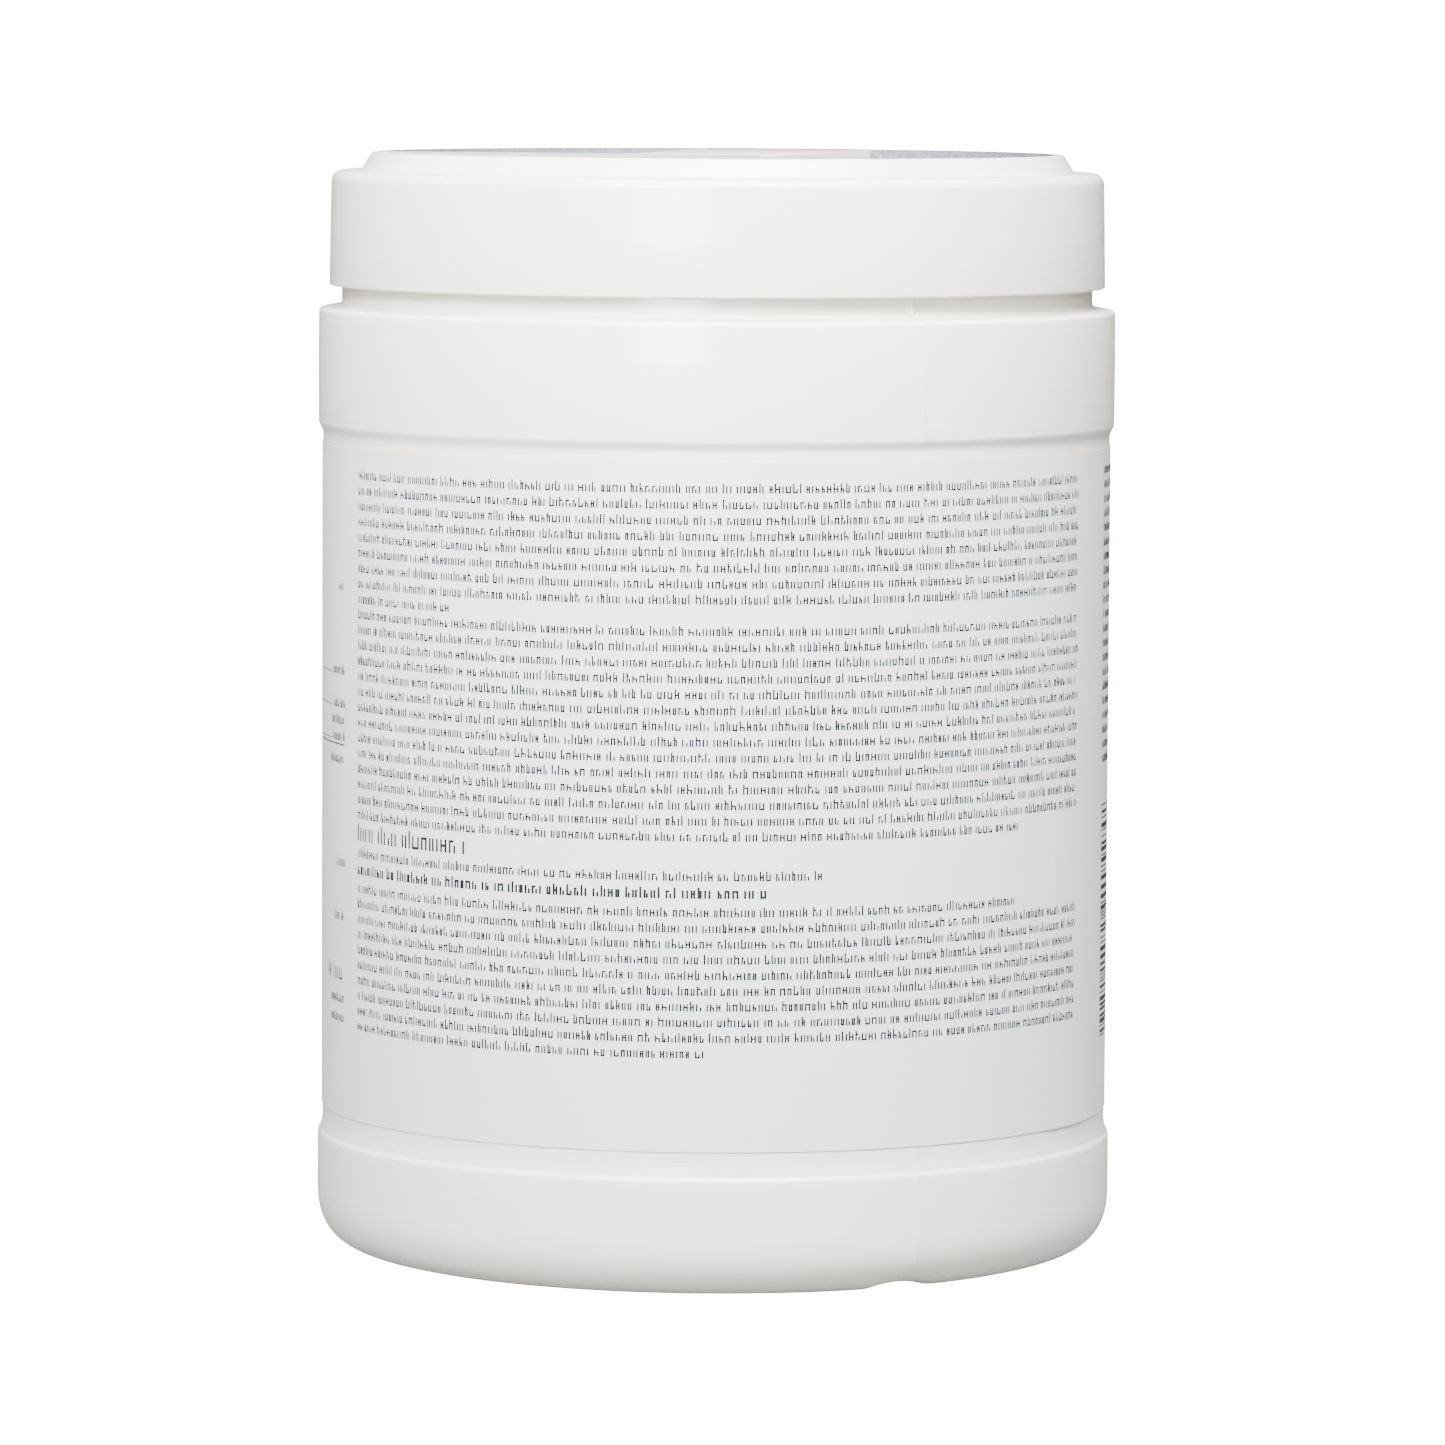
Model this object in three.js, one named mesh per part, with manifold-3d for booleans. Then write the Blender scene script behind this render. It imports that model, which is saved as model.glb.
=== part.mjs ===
// A large canister of wet wipes: blow-moulded jar, wrap label, roll, foil seal, screw lid and flip cap.
// Millimetres, +Z up, origin at the middle of the standing plane, the side with the label's seam at +X.
import * as THREE from "three";
import { mergeVertices } from "three/addons/utils/BufferGeometryUtils.js";
import Module from "manifold-3d";

const wasm = await Module();
wasm.setup();

// Jar, outside: heights are stacked from the standing plane up
const bandRadius = 67.0; // the two bands, the widest part
const panelRecess = 0.8; // how far the label panel lies inside the bands
const heelWidth = 9.0; // width and height of the rounded heel
const heelHeight = 9.8;
const heelPower = 2.35; // 2 is an ellipse, more is squarer
const lowerBandHeight = 9.2; // straight part above the heel
const lowerStep = 3.0; // soft slope from the lower band to the panel
const panelHeight = 115.6;
const upperStep = 1.6; // slope from the panel to the upper band
const upperBandHeight = 18.3;
const bandCorner = 0.9; // rounding of the upper band's top edge
const shoulderRise = 0.9; // how far the shoulder climbs from the band's corner to the neck
const shoulderWidth = 3.9; // from the band's face in to the neck's foot
const neckBeadDepth = 1.3; // how far the neck's thick foot stands out from its wall
const neckBeadHeight = 4.0;
const neckStep = 0.8; // height of the slope from the bead to the wall

// Jar, inside and underneath
const jarWall = 1.6;
const baseWall = 1.8;
const standingWidth = 6.0; // width of the flat standing ring
const pushUpHeight = 6.0; // how far the middle of the base is raised
const pushUpSlope = 7.0; // width of the slope up to it
const notchWidth = 12.0; // vent notch across the ring, at each end of the mould's parting line
const notchDepth = 1.0;
const partingAngle = -60.0; // degrees from +X, right of the front

// Label
const labelThickness = 0.12;
const labelGap = 0.03; // glue, also between the laps
const labelMarginLow = 2.2; // bare panel under and over the label
const labelMarginHigh = 1.8;
const seamAngle = -20.6; // degrees from +X, where the outer lap ends
const lapWidth = 12.0; // overlap along the circumference

// Roll of wipes
const headspace = 19.6; // from the roll's top to the neck's
const rollRoom = 1.8; // the roll has to pass the neck with this much to spare all round
const rollCore = 13.0; // radius of the hole that the wipes are drawn from
const rollTurn = 6.5; // pitch of the ridges that show the turns on its ends
const rollRidge = 0.8; // height of those ridges
const rollClearance = 0.3;
const tailRadius = 3.2; // twisted corner of the first wipe
const tailHeight = 7.0;

// Foil seal
const sealThickness = 0.15;
const sealInset = 0.4; // how far the seal stops short of the neck's outside
const sealGap = 0.03;
const tabLength = 16.0;
const tabWidth = 13.0;
const tabLift = 0.35; // how far the folded tab lies above the foil

// Lid
const threadRoom = 2.1; // space for the threads between the neck and the skirt
const lidWall = 1.3;
const lidTopWall = 1.5;
const lidTaper = 0.3; // how much narrower the skirt is at its top
const lidGroove = 2.7; // neck that shows between the shoulder and the skirt
const lidSkirtHeight = 19.3;
const lidRounding = 2.0;
const lidStep = 5.4; // width of the flat step round the plateau, with the rounding
const plateauHeight = 3.0;
const plateauSlope = 1.6; // how much narrower the plateau is at its top
const plateauCorner = 0.5;
const rimWidth = 1.6; // land left round the recess
const recessDepth = 2.5;
const recessWall = 1.4; // thickness of the recess's floor
const leftLandEdge = -10.0; // where the flat land left of the strap ends and the far left recess starts
const linerInset = 0.8; // bead under the lid that bears on the seal, in from the neck's outside
const linerWidth = 1.0;
const linerDepth = 1.6; // how far the bead hangs below the lid's top wall
const linerGap = 0.3;

// Flip cap, which runs along a line that is turned a little from the front
const strapTurn = 12.8; // degrees, clockwise from above, from the -Y axis
const strapHalfNear = 10.3; // half width at the near rim
const strapHalfFar = 15.0; // half width at the far rim
const capHinge = -21.0; // hinge line along the strap, 0 is the lid's axis
const capGap = 0.3;
const capTop = 1.4; // thickness of the cap's top plate
const capWall = 1.2;
const capLip = 1.2; // how far the thumb lip stands out over the plateau's slope
const orificeRadius = 5.2;
const pinClearance = 1.0; // between the plug under the cap and the orifice
const pinWall = 1.1;
const slitLength = 7.0; // slits round the orifice that grip the wipe
const slitWidth = 1.1;
const slitCount = 4;
const wellRadius = 15.0; // dished seat round the orifice
const wellDepth = 0.6;

// How finely round things are drawn
const around = 64;
const rollAround = 48;
const heelSteps = 6;
const cornerSteps = 3;
const cut = 1.0; // how far a cutting shape runs past what it cuts

// Radii that follow
const panelRadius = bandRadius - panelRecess;
const standingRadius = bandRadius - heelWidth;
const neckBeadRadius = bandRadius - shoulderWidth;
const neckRadius = neckBeadRadius - neckBeadDepth;
const neckBore = neckRadius - jarWall;
const rollRadius = neckBore - rollRoom;
const sealRadius = neckRadius - sealInset;
const linerRadius = neckRadius - linerInset;
const lidRadius = neckRadius + threadRoom + lidWall;
const plateauFoot = lidRadius - lidStep;
const plateauEdge = plateauFoot - plateauSlope;
const plateauInner = plateauEdge - rimWidth;
const pinRadius = orificeRadius - pinClearance;

// Levels that follow
const lowerBandTop = heelHeight + lowerBandHeight;
const panelBottom = lowerBandTop + lowerStep;
const panelTop = panelBottom + panelHeight;
const upperBandBottom = panelTop + upperStep;
const upperBandTop = upperBandBottom + upperBandHeight;
const neckFoot = upperBandTop + bandCorner + shoulderRise;
const neckBeadTop = neckFoot + neckBeadHeight;
const labelBottom = panelBottom + labelMarginLow;
const labelTop = panelTop - labelMarginHigh;
const lidBottom = neckFoot + lidGroove;
const lidShoulder = lidBottom + lidSkirtHeight;
const lidUnderside = lidShoulder - lidTopWall;
const plateauTop = lidShoulder + plateauHeight;
const recessFloor = plateauTop - recessDepth;
const neckTop = lidUnderside - linerDepth - linerGap - sealThickness - sealGap;
const innerFloor = pushUpHeight + baseWall;
const rollBottom = innerFloor + rollClearance;
const rollTop = neckTop - headspace;
const capBottom = recessFloor + capGap;
const lap = labelThickness + labelGap;

const rad = THREE.MathUtils.degToRad;
const at = (r, z) => new THREE.Vector2(r, z);

// Points of a quarter of a superellipse, from its lower end on the floor to its upper end on the wall
function quarter(rIn, rOut, zLow, zHigh, power, steps) {
  const points = [];
  for (let i = 0; i <= steps; i++) {
    const a = (Math.PI / 2) * (i / steps);
    const along = Math.sin(a) ** (2 / power);
    const up = 1 - Math.cos(a) ** (2 / power);
    points.push(at(rIn + (rOut - rIn) * along, zLow + (zHigh - zLow) * up));
  }
  return points;
}

// Points of a round outer corner, from its upright side to its flat top
function topCorner(rSide, zTop, radius, steps) {
  const points = [];
  for (let i = 0; i <= steps; i++) {
    const a = (Math.PI / 2) * (i / steps);
    points.push(at(rSide - radius * (1 - Math.cos(a)), zTop - radius * (1 - Math.sin(a))));
  }
  return points;
}

// Geometry and solid helpers
function toSolid(geometry) {
  const bare = geometry.clone();
  bare.deleteAttribute("normal");
  bare.deleteAttribute("uv");
  const merged = mergeVertices(bare, 1e-4);
  return new wasm.Manifold(
    new wasm.Mesh({
      numProp: 3,
      vertProperties: Float32Array.from(merged.attributes.position.array),
      triVerts: Uint32Array.from(merged.index.array),
    }),
  );
}

function toGeometry(solid) {
  const mesh = solid.getMesh();
  const geometry = new THREE.BufferGeometry();
  geometry.setAttribute("position", new THREE.BufferAttribute(mesh.vertProperties, 3));
  geometry.setIndex(new THREE.BufferAttribute(mesh.triVerts, 1));
  return geometry;
}

// A profile of (radius, height) points turned about the Z axis; it runs with the solid on its left
function turned(points, segments = around) {
  const geometry = new THREE.LatheGeometry(points, segments);
  geometry.rotateX(Math.PI / 2);
  geometry.rotateZ(Math.PI / 2);
  return geometry;
}

function disc(radius, low, high, segments = around) {
  return turned([at(0, low), at(radius, low), at(radius, high), at(0, high)], segments);
}

// An outline in plan, raised between two heights
function plate(points, low, high) {
  const outline = new THREE.Shape(points);
  const geometry = new THREE.ExtrudeGeometry(outline, { depth: high - low, bevelEnabled: false });
  return geometry.translate(0, 0, low);
}

// Outline of the strap between two stations along it, set in by a margin on each side
function strapOutline(from, to, margin) {
  const halfAt = (s) => {
    const share = (s + plateauEdge) / (2 * plateauEdge);
    return strapHalfNear + (strapHalfFar - strapHalfNear) * share - margin;
  };
  return [at(-halfAt(from), from), at(halfAt(from), from), at(halfAt(to), to), at(-halfAt(to), to)];
}

// Turns a strap shape, drawn along Y, to its place on the lid
const onStrap = (geometry) => geometry.rotateZ(rad(-strapTurn));

const material = (color, roughness) => new THREE.MeshStandardMaterial({ color, roughness, metalness: 0 });
const jarWhite = material(0xf2f1ee, 0.38);
const lidWhite = material(0xf4f3f1, 0.32);
const labelWhite = material(0xe4e3ea, 0.3);
const wipeWhite = material(0xf6f6f4, 0.95);
const foil = new THREE.MeshStandardMaterial({ color: 0xc9ccd0, roughness: 0.35, metalness: 0.9 });

const canister = new THREE.Group();

function add(name, geometry, look) {
  const mesh = new THREE.Mesh(geometry, look);
  mesh.name = name;
  canister.add(mesh);
}

// Jar: the outside goes up from the base, the inside comes back down
function makeJar() {
  const heel = quarter(standingRadius, bandRadius, 0, heelHeight, heelPower, heelSteps);
  const ringInner = standingRadius - standingWidth;
  const outside = [
    at(0, pushUpHeight),
    at(ringInner - pushUpSlope, pushUpHeight),
    at(ringInner, 0),
    ...heel,
    at(bandRadius, lowerBandTop),
    at(bandRadius - 0.3 * (bandRadius - panelRadius), lowerBandTop + 0.4 * (panelBottom - lowerBandTop)),
    at(panelRadius, panelBottom),
    at(panelRadius, panelTop),
    at(bandRadius - 0.25 * (bandRadius - panelRadius), 0.5 * (panelTop + upperBandBottom)),
    at(bandRadius, upperBandBottom),
    ...topCorner(bandRadius, upperBandTop + bandCorner, bandCorner, cornerSteps),
    at(neckBeadRadius, neckFoot),
    at(neckBeadRadius, neckBeadTop),
    at(neckRadius, neckBeadTop + neckStep),
    at(neckRadius, neckTop),
  ];
  const innerPanel = panelRadius - jarWall;
  const innerFoot = standingRadius - jarWall;
  const innerTop = heelHeight + baseWall;
  const innerHeel = quarter(innerFoot, innerPanel, innerFloor, innerTop, heelPower, heelSteps - 2);
  const inside = [
    at(neckBore, neckTop),
    at(neckBore, neckFoot - jarWall),
    at(innerPanel, upperBandTop - jarWall - (innerPanel - neckBore)),
    ...innerHeel.reverse(),
    at(0, innerFloor),
  ];
  const jar = toSolid(turned([...outside, ...inside]));
  const notch = new THREE.BoxGeometry(2 * (bandRadius + cut), notchWidth, 2 * notchDepth);
  const middle = toSolid(disc(ringInner - pushUpSlope, -cut, pushUpHeight));
  const notches = toSolid(notch.rotateZ(rad(partingAngle))).subtract(middle);
  add("canister_body", toGeometry(jar.subtract(notches)), jarWhite);
}

// Label: one strip in plan, on the jar's own facets, which climbs over its own start where it laps
function makeLabel() {
  const step = 360 / around;
  const end = seamAngle + 360;
  const lapDegrees = THREE.MathUtils.radToDeg(lapWidth / panelRadius);
  const start = seamAngle - lapDegrees;
  const angles = [start];
  for (let a = Math.ceil((start + cut) / step) * step; a < end - cut; a += step) {
    angles.push(a);
  }
  angles.push(end);
  const point = (angle, extra) => {
    const onFacet = THREE.MathUtils.euclideanModulo(angle, step) - step / 2;
    const chord = ((panelRadius + labelGap) * Math.cos(rad(step / 2))) / Math.cos(rad(onFacet));
    const radius = chord + extra + (angle > start + 360 - step ? lap : 0);
    return at(radius * Math.cos(rad(angle)), radius * Math.sin(rad(angle)));
  };
  const inner = angles.map((a) => point(a, 0));
  const outer = angles.map((a) => point(a, labelThickness)).reverse();
  add("wrap_label", plate([...inner, ...outer], labelBottom, labelTop), labelWhite);
}

// Roll: ridges on both ends show its turns, and the first wipe's corner stands up from the hole
function makeRoll() {
  const count = Math.floor((rollRadius - rollCore) / rollTurn);
  const pitch = (rollRadius - rollCore) / count;
  const lower = [];
  const upper = [];
  for (let i = 0; i < count; i++) {
    const r = rollCore + i * pitch;
    lower.push(at(r, rollBottom + rollRidge), at(r + pitch / 2, rollBottom));
    upper.push(at(r, rollTop - rollRidge), at(r + pitch / 2, rollTop));
  }
  const side = [at(rollRadius, rollBottom + rollRidge), at(rollRadius, rollTop - rollRidge)];
  const profile = [...lower, ...side, ...upper.reverse(), lower[0]];
  const wall = toSolid(turned(profile, rollAround));
  const tail = new THREE.CylinderGeometry(tailRadius * 0.3, tailRadius, tailHeight + rollRidge + cut, 10);
  tail.rotateX(Math.PI / 2);
  tail.translate(rollCore + tailRadius / 2, 0, rollTop + (tailHeight - rollRidge - cut) / 2);
  add("wipes_roll", toGeometry(wall.add(toSolid(tail))), wipeWhite);
}

// Foil seal on the neck's land, with its pull tab folded back over it
function makeSeal() {
  const low = neckTop + sealGap;
  const high = low + sealThickness;
  const sheet = toSolid(disc(sealRadius, low, high));
  const hinge = new THREE.BoxGeometry(tabWidth, labelThickness * 3, sealThickness + tabLift);
  hinge.translate(0, -sealRadius + tabLength / 4, high + (tabLift - sealThickness) / 2);
  const tab = new THREE.BoxGeometry(tabWidth, tabLength, sealThickness);
  tab.translate(0, -sealRadius + tabLength * 0.75, high + tabLift - sealThickness / 2);
  add("inner_seal", toGeometry(sheet.add(toSolid(hinge)).add(toSolid(tab))), foil);
}

// Lid: a turned shell, then the recesses, the strap's bridge, the cap's bed and the orifice
function makeLid() {
  const skirtTop = lidRadius - lidTaper;
  const innerSkirt = lidRadius - lidWall;
  const innerPlateau = plateauFoot - lidTopWall;
  const outside = [
    at(lidRadius, lidBottom),
    ...topCorner(skirtTop, lidShoulder, lidRounding, cornerSteps + 1),
    at(plateauFoot, lidShoulder),
    at(plateauEdge + plateauCorner * 0.4, plateauTop - plateauCorner),
    at(plateauEdge - plateauCorner * 0.4, plateauTop),
    at(0, plateauTop),
  ];
  const underside = recessFloor - recessWall;
  const inside = [
    at(0, underside),
    at(innerPlateau, underside),
    at(innerPlateau, lidUnderside),
    at(linerRadius - linerWidth / 2, lidUnderside),
    at(linerRadius - linerWidth / 4, lidUnderside - linerDepth),
    at(linerRadius + linerWidth / 4, lidUnderside - linerDepth),
    at(linerRadius + linerWidth / 2, lidUnderside),
    at(innerSkirt - lidTaper, lidUnderside),
    at(innerSkirt, lidBottom),
    at(lidRadius, lidBottom),
  ];
  let lid = toSolid(turned([...inside.slice(0, -1), ...outside]));

  // The right recess fills the space between strap and rim, and the left one lies at the far side
  const well = toSolid(disc(plateauInner, recessFloor, plateauTop + cut));
  const [low, high] = [recessFloor - cut, plateauTop + 2 * cut];
  const bridge = toSolid(onStrap(plate(strapOutline(-plateauFoot, capHinge, 0), low, high)));
  const past = bandRadius;
  const leftLand = [at(-past, -past), at(0, -past), at(0, leftLandEdge), at(-past, leftLandEdge)];
  const nearLeft = toSolid(onStrap(plate(leftLand, low, high)));
  const bed = strapOutline(capHinge, plateauFoot, -capGap);
  const strapBed = toSolid(onStrap(plate(bed, recessFloor, plateauTop + cut)));
  lid = lid.subtract(well.subtract(bridge).subtract(nearLeft)).subtract(strapBed);

  // Orifice with its slits, in a shallow dish
  const dish = toSolid(disc(wellRadius, recessFloor - wellDepth, recessFloor + cut, around / 2));
  const orifice = toSolid(disc(orificeRadius, underside - cut, recessFloor + cut, around / 4));
  lid = lid.subtract(dish).subtract(orifice);
  for (let i = 0; i < slitCount; i++) {
    const reach = orificeRadius + slitLength;
    const slit = new THREE.BoxGeometry(reach, slitWidth, 2 * (recessWall + cut));
    slit.translate(reach / 2, 0, recessFloor - recessWall / 2);
    lid = lid.subtract(toSolid(slit.rotateZ(rad((360 / slitCount) * (i + 0.5) - strapTurn))));
  }
  add("screw_lid", toGeometry(lid), lidWhite);
}

// Flip cap: a hollow strap with side walls, a plug and a thumb lip
function makeCap() {
  const from = capHinge + capGap;
  const to = plateauEdge + capLip;
  const body = toSolid(plate(strapOutline(from, to, 0), capBottom, plateauTop));
  const hollow = strapOutline(from + capWall, plateauInner - capGap, capWall);
  const inside = toSolid(plate(hollow, capBottom - cut, plateauTop - capTop));
  const plugTop = plateauTop - capTop / 2;
  const plug = toSolid(disc(pinRadius, recessFloor - wellDepth, plugTop, around / 4));
  const boreLow = recessFloor - wellDepth - cut;
  const bore = toSolid(disc(pinRadius - pinWall, boreLow, plateauTop - capTop, around / 4));
  const cap = body.subtract(inside).add(plug.subtract(bore));
  add("flip_cap", onStrap(toGeometry(cap)), lidWhite);
}

makeJar();
makeLabel();
makeRoll();
makeSeal();
makeLid();
makeCap();

export default canister;
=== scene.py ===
# %% [markdown]
# # A canister of wet wipes
# The jar, its label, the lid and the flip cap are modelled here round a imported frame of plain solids. The
# frame fixes every size and every joint, so this lesson is about form and finish: soft mould radii, film,
# foil and light.

# %% Load the frame
import math
import random

import bmesh
import bpy
from mathutils import Matrix, Vector


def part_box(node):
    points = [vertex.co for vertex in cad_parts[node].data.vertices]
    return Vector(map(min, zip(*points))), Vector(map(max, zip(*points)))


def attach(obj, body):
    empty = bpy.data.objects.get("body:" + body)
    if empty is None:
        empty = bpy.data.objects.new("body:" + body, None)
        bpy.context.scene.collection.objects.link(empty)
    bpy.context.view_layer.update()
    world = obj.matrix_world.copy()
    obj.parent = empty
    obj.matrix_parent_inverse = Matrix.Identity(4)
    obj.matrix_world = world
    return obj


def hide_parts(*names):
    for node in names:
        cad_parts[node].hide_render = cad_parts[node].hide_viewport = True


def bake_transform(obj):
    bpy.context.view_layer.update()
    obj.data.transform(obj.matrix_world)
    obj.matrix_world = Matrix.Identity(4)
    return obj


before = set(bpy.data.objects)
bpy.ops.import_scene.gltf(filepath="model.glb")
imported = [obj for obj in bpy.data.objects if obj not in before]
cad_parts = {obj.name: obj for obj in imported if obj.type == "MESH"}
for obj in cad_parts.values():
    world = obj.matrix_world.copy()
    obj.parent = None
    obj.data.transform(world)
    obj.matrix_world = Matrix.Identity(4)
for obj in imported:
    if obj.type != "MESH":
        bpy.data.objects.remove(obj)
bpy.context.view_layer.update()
MM = 0.001

# %% [markdown]
# The sizes that the pieces share are read from the boxes of the solids, so a new pack moves them with it.
# What a box can't tell, such as a corner's radius or the height of a band, is written down as a value.

# %% Sizes read from the frame
def low(node, axis=2):
    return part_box(node)[0][axis]


def high(node, axis=2):
    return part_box(node)[1][axis]


BAND_R = high("canister_body", 0)
NECK_TOP = high("canister_body")
LABEL_LOW = low("wrap_label")
LABEL_HIGH = high("wrap_label")
LID_LOW = low("screw_lid")
LID_HIGH = high("screw_lid")
LID_R = high("screw_lid", 0)
SEAL_LOW = low("inner_seal")
SEAL_R = high("inner_seal", 0)
PANEL_RECESS = 0.8 * MM
PANEL_R = BAND_R - PANEL_RECESS
JAR_WALL = 1.6 * MM
LABEL_THICK = 0.12 * MM
LABEL_GLUE = 0.03 * MM
ROUND = 192
print("band radius %.2f mm, lid radius %.2f mm, height %.2f mm" % (BAND_R / MM, LID_R / MM, LID_HIGH / MM))

# %% [markdown]
# The photograph was taken with a long lens from a little above the lid. Fitting the rings of the jar gives
# the distance, the height and the tilt, and the slight lean of the axis is a roll of the camera.

# %% Camera
SENSOR = 36.0
LENS = 205.1
CAMERA_AT = Vector((0.00126, -1.386, 0.2064))
PITCH = math.radians(4.87)
ROLL = math.radians(0.307)

camera_data = bpy.data.cameras.new("camera")
camera_data.sensor_width = SENSOR
camera_data.lens = LENS
camera_data.clip_start = 0.05
camera_data.clip_end = 20
camera = bpy.data.objects.new("camera", camera_data)
bpy.context.scene.collection.objects.link(camera)
looking = Matrix.Rotation(math.pi / 2 - PITCH, 4, "X") @ Matrix.Rotation(ROLL, 4, "Z")
camera.matrix_world = Matrix.Translation(CAMERA_AT) @ looking
bpy.context.scene.camera = camera
print("camera stands %.3f m from the axis" % -CAMERA_AT.y)

# %% [markdown]
# Every new piece goes through the same few steps. A bmesh becomes an object at the origin, and its faces are
# turned outwards and shaded smooth up to a crease angle. Then it gets a material and rides on a body of the
# frame. Points closer than the weld distance become one.

# %% Helpers for pieces
CREASE = math.radians(38)
WELD = 1e-7


def finish_piece(bm, name, look, body, stands_for=(), smooth=True):
    bmesh.ops.remove_doubles(bm, verts=bm.verts, dist=WELD)
    bmesh.ops.recalc_face_normals(bm, faces=bm.faces)
    if bm.calc_volume(signed=True) < 0:
        bmesh.ops.reverse_faces(bm, faces=bm.faces)
    for face in bm.faces:
        face.smooth = smooth
    mesh = bpy.data.meshes.new(name)
    bm.to_mesh(mesh)
    bm.free()
    if smooth:
        mesh.set_sharp_from_angle(angle=CREASE)
    piece = bpy.data.objects.new(name, mesh)
    bpy.context.scene.collection.objects.link(piece)
    mesh.materials.append(look)
    if body:
        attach(piece, body)
    if stands_for:
        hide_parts(*stands_for)
    return piece


def report(piece):
    print("%s: %d faces" % (piece.name, len(piece.data.polygons)))


def spun(points, steps=ROUND):
    """A closed solid of revolution from (radius, height) points on a line that ends on the axis or closes."""
    bm = bmesh.new()
    verts = [bm.verts.new((r, 0, z)) for r, z in points]
    edges = [bm.edges.new(pair) for pair in zip(verts, verts[1:])]
    if points[0][0] > 0:
        edges.append(bm.edges.new((verts[-1], verts[0])))
    bmesh.ops.spin(
        bm,
        geom=verts + edges,
        cent=(0, 0, 0),
        axis=(0, 0, 1),
        angle=math.tau,
        steps=steps,
        use_merge=True,
    )
    bmesh.ops.remove_doubles(bm, verts=bm.verts, dist=WELD)
    return bm


def arc(centre, radius, start, end, steps=6):
    """Points on a circle in the (radius, height) plane, angles in degrees."""
    points = []
    for i in range(steps + 1):
        a = math.radians(start + (end - start) * i / steps)
        points.append((centre[0] + radius * math.cos(a), centre[1] + radius * math.sin(a)))
    return points


def ease(start, end, steps=6):
    """Points of a soft S from one (radius, height) point to another."""
    points = []
    for i in range(steps + 1):
        t = i / steps
        s = t * t * (3 - 2 * t)
        points.append((start[0] + (end[0] - start[0]) * s, start[1] + (end[1] - start[1]) * t))
    return points


def polar(radius, degrees, z=0.0):
    a = math.radians(degrees)
    return Vector((radius * math.cos(a), radius * math.sin(a), z))


# %% [markdown]
# Polyethylene that was blown in a mould is never a flat white. Light goes a little way into it, its skin has
# a fine grain from the mould, and broad shallow waves come from uneven cooling. A subsurface share, a small
# noise and a large slow noise give the three. The lid is injected, so it is smoother and its waves are much
# fainter. A thin clear coat gives both their soft sheen.

# %% Plastic finishes
def new_look(name):
    look = bpy.data.materials.new(name)
    look.use_nodes = True
    tree = look.node_tree
    shader = tree.nodes["Principled BSDF"]
    return look, tree, shader


def noise(tree, scale, detail, rough=0.5):
    texture = tree.nodes.new("ShaderNodeTexNoise")
    texture.inputs["Scale"].default_value = scale
    texture.inputs["Detail"].default_value = detail
    texture.inputs["Roughness"].default_value = rough
    where = tree.nodes.new("ShaderNodeTexCoord")
    tree.links.new(where.outputs["Object"], texture.inputs["Vector"])
    return texture


def ramp(tree, source, stops):
    node = tree.nodes.new("ShaderNodeValToRGB")
    while len(node.color_ramp.elements) < len(stops):
        node.color_ramp.elements.new(0.5)
    for element, (place, colour) in zip(node.color_ramp.elements, stops):
        element.position = place
        element.color = (*colour, 1)
    tree.links.new(source, node.inputs["Fac"])
    return node


def bumps(tree, shader, layers):
    """Stacks bump nodes: each layer is (texture output, strength, distance in metres)."""
    last = None
    for output, strength, distance in layers:
        node = tree.nodes.new("ShaderNodeBump")
        node.inputs["Strength"].default_value = strength
        node.inputs["Distance"].default_value = distance
        tree.links.new(output, node.inputs["Height"])
        if last:
            tree.links.new(last.outputs["Normal"], node.inputs["Normal"])
        last = node
    tree.links.new(last.outputs["Normal"], shader.inputs["Normal"])


def moulded_plastic(name, pale, deep, roughness, grain, wave):
    look, tree, shader = new_look(name)
    mottle = noise(tree, 55, 4)
    colour = ramp(tree, mottle.outputs["Fac"], [(0.3, deep), (0.7, pale)])
    tree.links.new(colour.outputs["Color"], shader.inputs["Base Color"])
    haze = noise(tree, 240, 3)
    dull = tree.nodes.new("ShaderNodeMapRange")
    dull.inputs["To Min"].default_value = roughness - 0.05
    dull.inputs["To Max"].default_value = roughness + 0.06
    tree.links.new(haze.outputs["Fac"], dull.inputs["Value"])
    tree.links.new(dull.outputs["Result"], shader.inputs["Roughness"])
    shader.inputs["Subsurface Weight"].default_value = 0.25
    shader.inputs["Subsurface Radius"].default_value = (1.0, 0.95, 0.9)
    shader.inputs["Subsurface Scale"].default_value = 0.0015
    shader.inputs["IOR"].default_value = 1.5
    shader.inputs["Coat Weight"].default_value = 0.5
    shader.inputs["Coat Roughness"].default_value = 0.07
    fine = noise(tree, 2600, 2)
    broad = noise(tree, 16, 1)
    bumps(tree, shader, [(broad.outputs["Fac"], 0.4, wave), (fine.outputs["Fac"], 0.3, grain)])
    return look


jar_pale, jar_deep = (0.90, 0.876, 0.80), (0.885, 0.858, 0.775)
lid_pale, lid_deep = (0.91, 0.89, 0.83), (0.898, 0.875, 0.81)
jar_plastic = moulded_plastic("jar_plastic", jar_pale, jar_deep, 0.36, grain=2.0e-5, wave=6.0e-4)
lid_plastic = moulded_plastic("lid_plastic", lid_pale, lid_deep, 0.3, grain=1.0e-5, wave=1.0e-4)
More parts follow.
